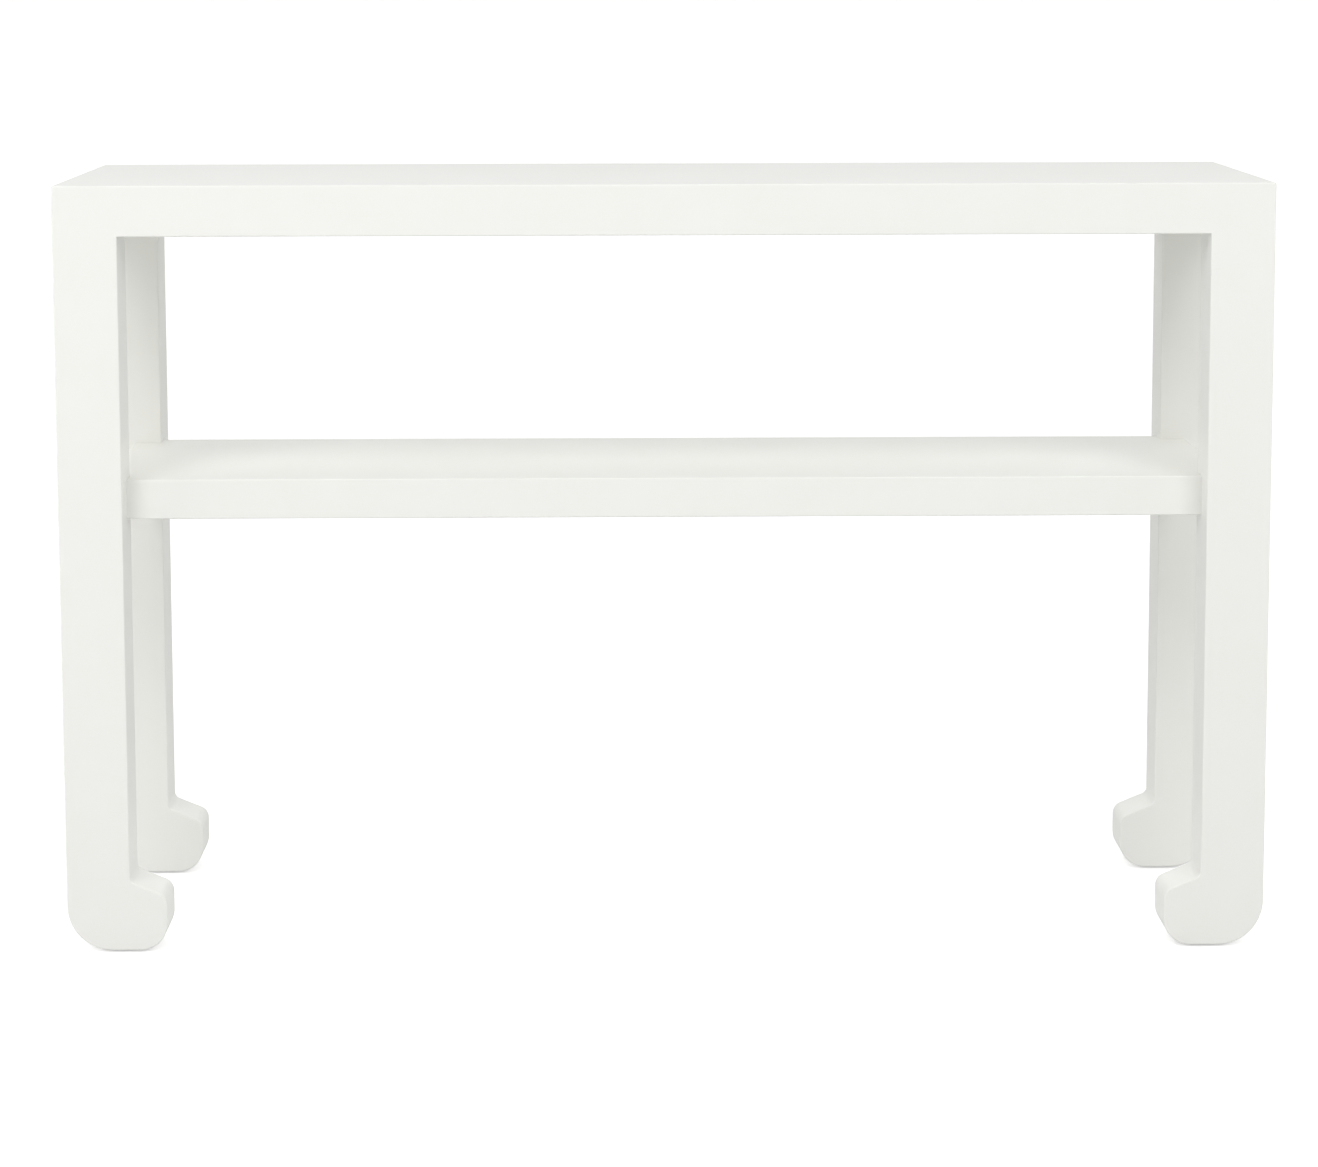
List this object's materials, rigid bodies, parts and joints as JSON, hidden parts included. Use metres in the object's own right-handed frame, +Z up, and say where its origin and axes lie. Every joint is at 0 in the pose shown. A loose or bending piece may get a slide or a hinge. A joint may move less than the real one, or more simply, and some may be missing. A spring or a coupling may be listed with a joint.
{
  "type": "console table",
  "caption": "Long narrow white lacquered console table with square legs, inward-scrolled horse-hoof feet, a flush thick top and a recessed lower shelf.",
  "frame": {"origin": "on the floor, under the middle of the table", "axes": "+Z up, +X along the table's length, -Y towards the front"},
  "size_m": [1.27, 0.41, 0.813],
  "materials": {
    "white_lacquer": "satin off-white lacquer, sprayed over primed board and hardwood, one continuous coat",
    "bare_softwood": "planed, unfinished",
    "beech_dowels": "turned, unfinished",
    "zinc_screws": "zinc plated",
    "steel_pins": "bright drawn",
    "nylon_glides": "moulded nylon, natural off-white"
  },
  "bodies": {
    "root": {"batten_screws": "zinc_screws", "corner_block_back_left": "white_lacquer", "corner_block_back_right": "white_lacquer", "corner_block_front_left": "white_lacquer", "corner_block_front_right": "white_lacquer", "corner_block_screws": "zinc_screws", "foot_block_back_left": "white_lacquer", "foot_block_back_right": "white_lacquer", "foot_block_front_left": "white_lacquer", "foot_block_front_right": "white_lacquer", "foot_dowels": "beech_dowels", "glide_back_left": "nylon_glides", "glide_back_right": "nylon_glides", "glide_front_left": "nylon_glides", "glide_front_right": "nylon_glides", "glide_pins": "steel_pins", "leg_back_left": "white_lacquer", "leg_back_right": "white_lacquer", "leg_front_left": "white_lacquer", "leg_front_right": "white_lacquer", "rail_dowels": "beech_dowels", "shelf_batten_left": "bare_softwood", "shelf_batten_middle": "bare_softwood", "shelf_batten_right": "bare_softwood", "shelf_bottom_skin": "white_lacquer", "shelf_rail_back": "white_lacquer", "shelf_rail_front": "white_lacquer", "shelf_rail_left": "white_lacquer", "shelf_rail_right": "white_lacquer", "shelf_top_skin": "white_lacquer", "top_batten_left": "white_lacquer", "top_batten_middle": "white_lacquer", "top_batten_right": "white_lacquer", "top_panel": "white_lacquer", "top_rail_back": "white_lacquer", "top_rail_front": "white_lacquer", "top_rail_left": "white_lacquer", "top_rail_right": "white_lacquer"}
  },
  "joints": []
}
